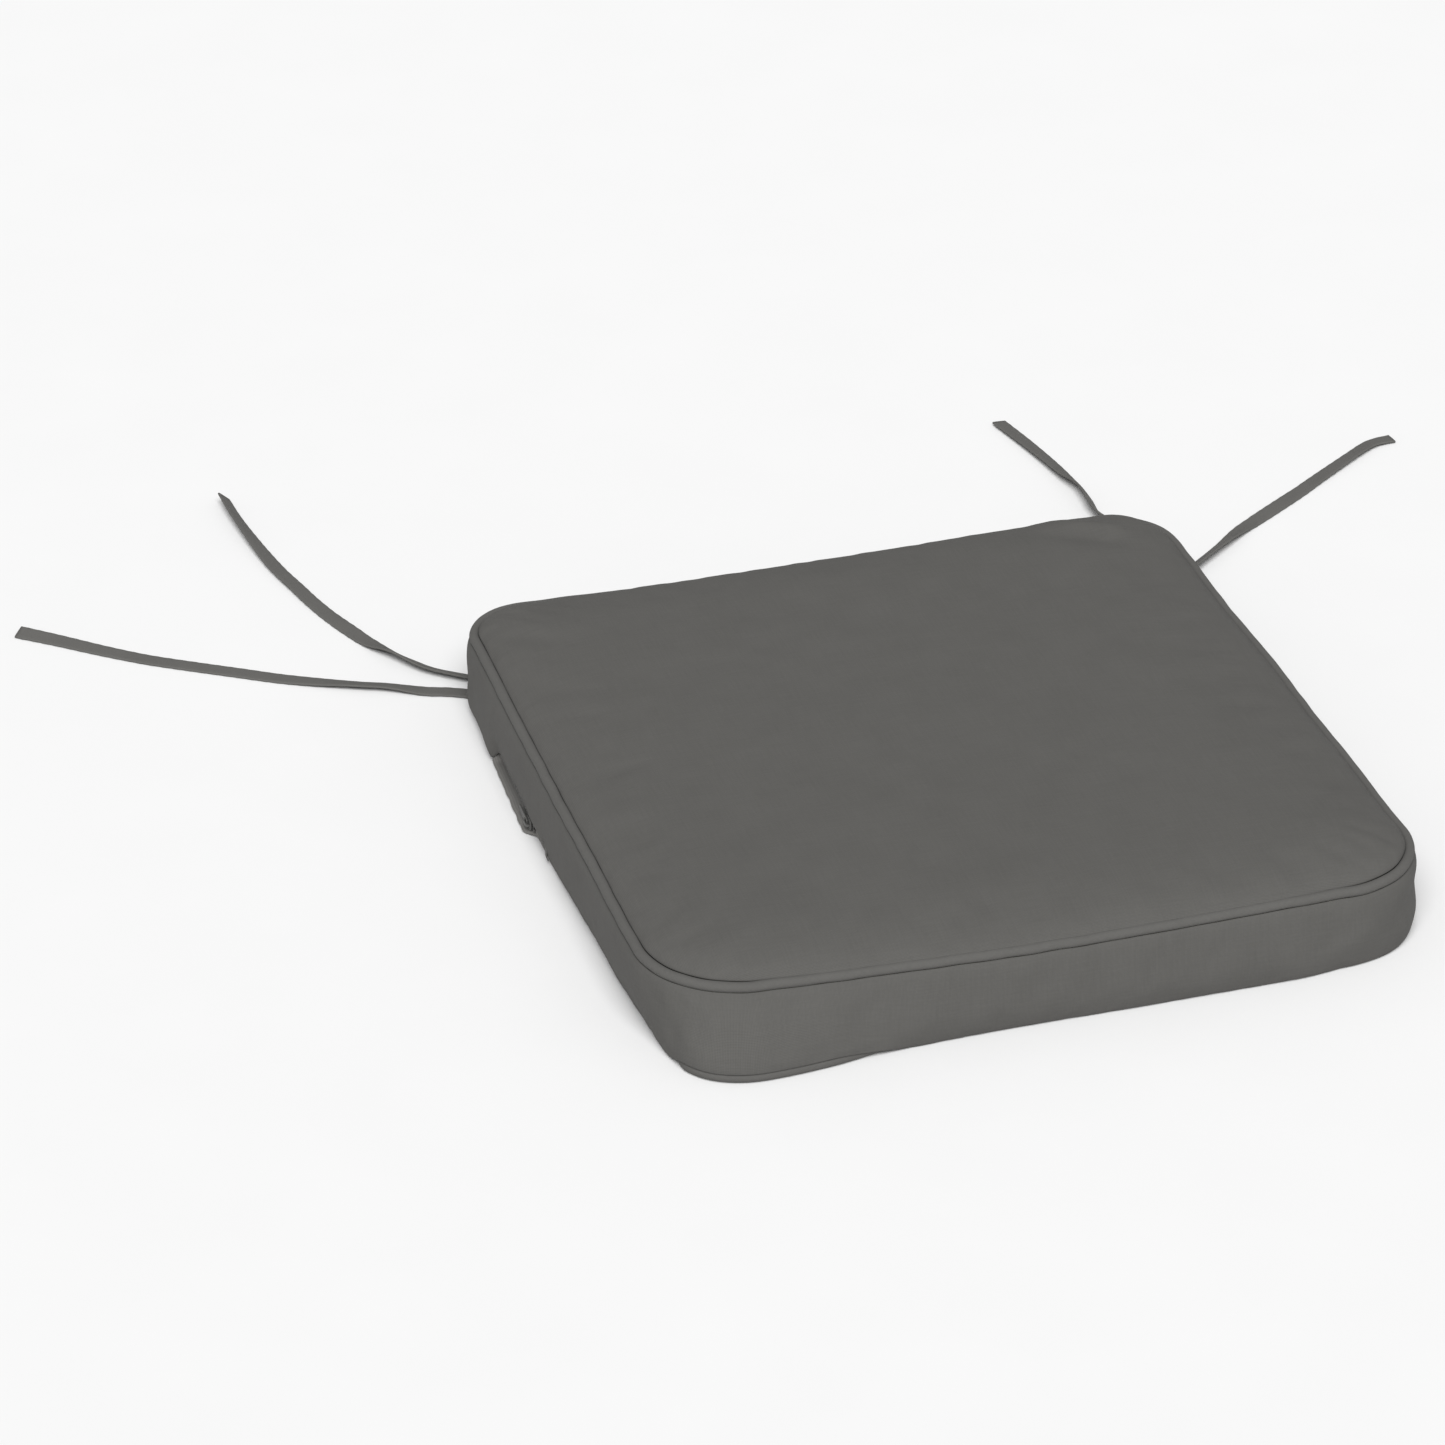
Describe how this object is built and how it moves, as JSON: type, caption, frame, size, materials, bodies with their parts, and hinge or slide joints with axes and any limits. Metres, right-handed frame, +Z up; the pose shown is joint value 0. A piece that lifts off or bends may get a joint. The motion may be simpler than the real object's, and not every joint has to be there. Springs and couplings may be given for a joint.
{
  "type": "chair seat pad",
  "caption": "Square box seat pad with piped edges, a crowned top, a zip round the back of its base and flat tape ties at the back corners.",
  "frame": {"origin": "middle of the underside, measured without the ties", "axes": "+Z up through the thickness, -Y towards the front edge, +X to the right of someone facing the back edge"},
  "size_m": [0.7948, 0.647, 0.0546],
  "materials": {
    "cover_fabric": "matt plain-weave polyester",
    "piping_fabric": "matt plain-weave polyester cut on the bias",
    "tie_tape": "matt woven tape",
    "foam": "open-cell foam",
    "wadding": "fluffy polyester fibre",
    "cord_fibre": "twisted fibre",
    "zip_tape": "matt ribbed tape",
    "zip_coil": "satin nylon",
    "zip_metal": "satin grey enamel",
    "thread": "satin polyester thread"
  },
  "bodies": {
    "cushion": {"foam_core": "foam", "top_wadding": "wadding", "top_panel": "cover_fabric", "bottom_panel": "cover_fabric", "boxing_band": "cover_fabric", "top_piping_cord": "cord_fibre", "top_piping_cover": "piping_fabric", "bottom_piping_cord": "cord_fibre", "bottom_piping_cover": "piping_fabric", "top_seam_thread": "thread", "bottom_seam_thread": "thread", "zip_tape_upper": "zip_tape", "zip_tape_lower": "zip_tape", "zip_coil_upper": "zip_coil", "zip_coil_lower": "zip_coil", "zip_end_stops": "zip_metal", "zip_bar_tacks": "thread", "zip_topstitch": "thread", "tie_left_side": "tie_tape", "tie_left_back": "tie_tape", "tie_right_back": "tie_tape", "tie_right_side": "tie_tape", "tie_tacks_left": "thread", "tie_tacks_right": "thread"},
    "slider": {"zip_slider": "zip_metal"},
    "pull_tab": {"zip_pull_tab": "zip_metal"}
  },
  "joints": [
    {"name": "zip_slide", "type": "slide", "parent": "cushion", "child": "slider", "axis": [0.0499, 0.9988, 0], "range_m": [0, 0.065]},
    {"name": "tab_hinge", "type": "hinge", "parent": "slider", "child": "pull_tab", "pos_m": [-0.20058, 0.04419, 0.006], "axis": [0, 0, 1], "range_deg": [0, 175]}
  ]
}
